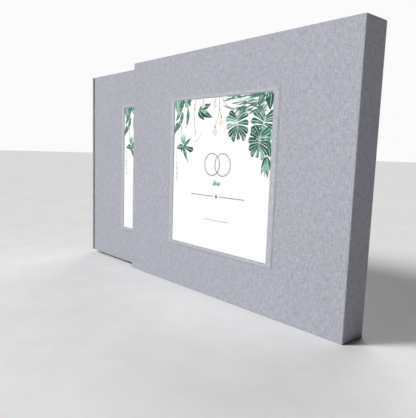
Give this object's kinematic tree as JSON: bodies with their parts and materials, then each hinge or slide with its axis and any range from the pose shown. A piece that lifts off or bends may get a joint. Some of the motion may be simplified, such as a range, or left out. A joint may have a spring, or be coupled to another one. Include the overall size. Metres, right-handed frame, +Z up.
{
  "type": "wedding guest book",
  "caption": "Landscape hardcover guest book in grey linen, part drawn from its matching slipcase, each with a print inside a low raised frame.",
  "frame": {"origin": "centre of the slipcase's bottom face", "axes": "+X along the width towards the closed end of the slipcase (the book comes out towards -X), +Y from the framed print to the back, +Z up"},
  "size_m": [0.3647, 0.026, 0.2183],
  "materials": {
    "linen": "woven matt",
    "board": "grey board",
    "lining_paper": "matt",
    "infill_card": "card",
    "print_card": "smooth matt",
    "endpaper": "matt",
    "leaf_paper": "matt",
    "tape": "woven",
    "thread": "waxed",
    "gauze": "open weave",
    "kraft_paper": "matt",
    "band_silk": "striped silk"
  },
  "bodies": {
    "slipcase": {"slipcase_back_board": "board", "slipcase_end_board": "board", "slipcase_front_board": "board", "slipcase_front_frame_board": "board", "slipcase_print": "print_card", "slipcase_wrap_cloth": "linen", "slipcase_bottom_board": "board", "slipcase_bottom_cloth": "linen", "slipcase_bottom_lining": "lining_paper", "slipcase_top_board": "board", "slipcase_top_cloth": "linen", "slipcase_top_lining": "lining_paper", "slipcase_front_lining": "lining_paper", "slipcase_back_lining": "lining_paper", "slipcase_end_lining": "lining_paper"},
    "book": {"book_back_board": "board", "book_spine_board": "board", "book_front_board": "board", "book_front_frame_board": "board", "book_print": "print_card", "book_case_cloth": "linen", "book_front_infill": "infill_card", "book_back_infill": "infill_card", "book_front_endpaper": "endpaper", "book_back_endpaper": "endpaper", "book_section_1": "leaf_paper", "book_section_2": "leaf_paper", "book_section_3": "leaf_paper", "book_section_4": "leaf_paper", "book_section_5": "leaf_paper", "book_section_6": "leaf_paper", "book_section_7": "leaf_paper", "book_section_8": "leaf_paper", "book_tape_1": "tape", "book_tape_2": "tape", "book_tape_3": "tape", "book_tape_4": "tape", "book_kettle_stitch_tail": "thread", "book_kettle_stitch_head": "thread", "book_mull": "gauze", "book_spine_paper": "kraft_paper", "book_tailband": "band_silk", "book_headband": "band_silk"}
  },
  "joints": [
    {"name": "book_slide", "type": "slide", "parent": "slipcase", "child": "book", "axis": [-1, 0, 0], "range_m": [-0.0985, 0.166]}
  ]
}
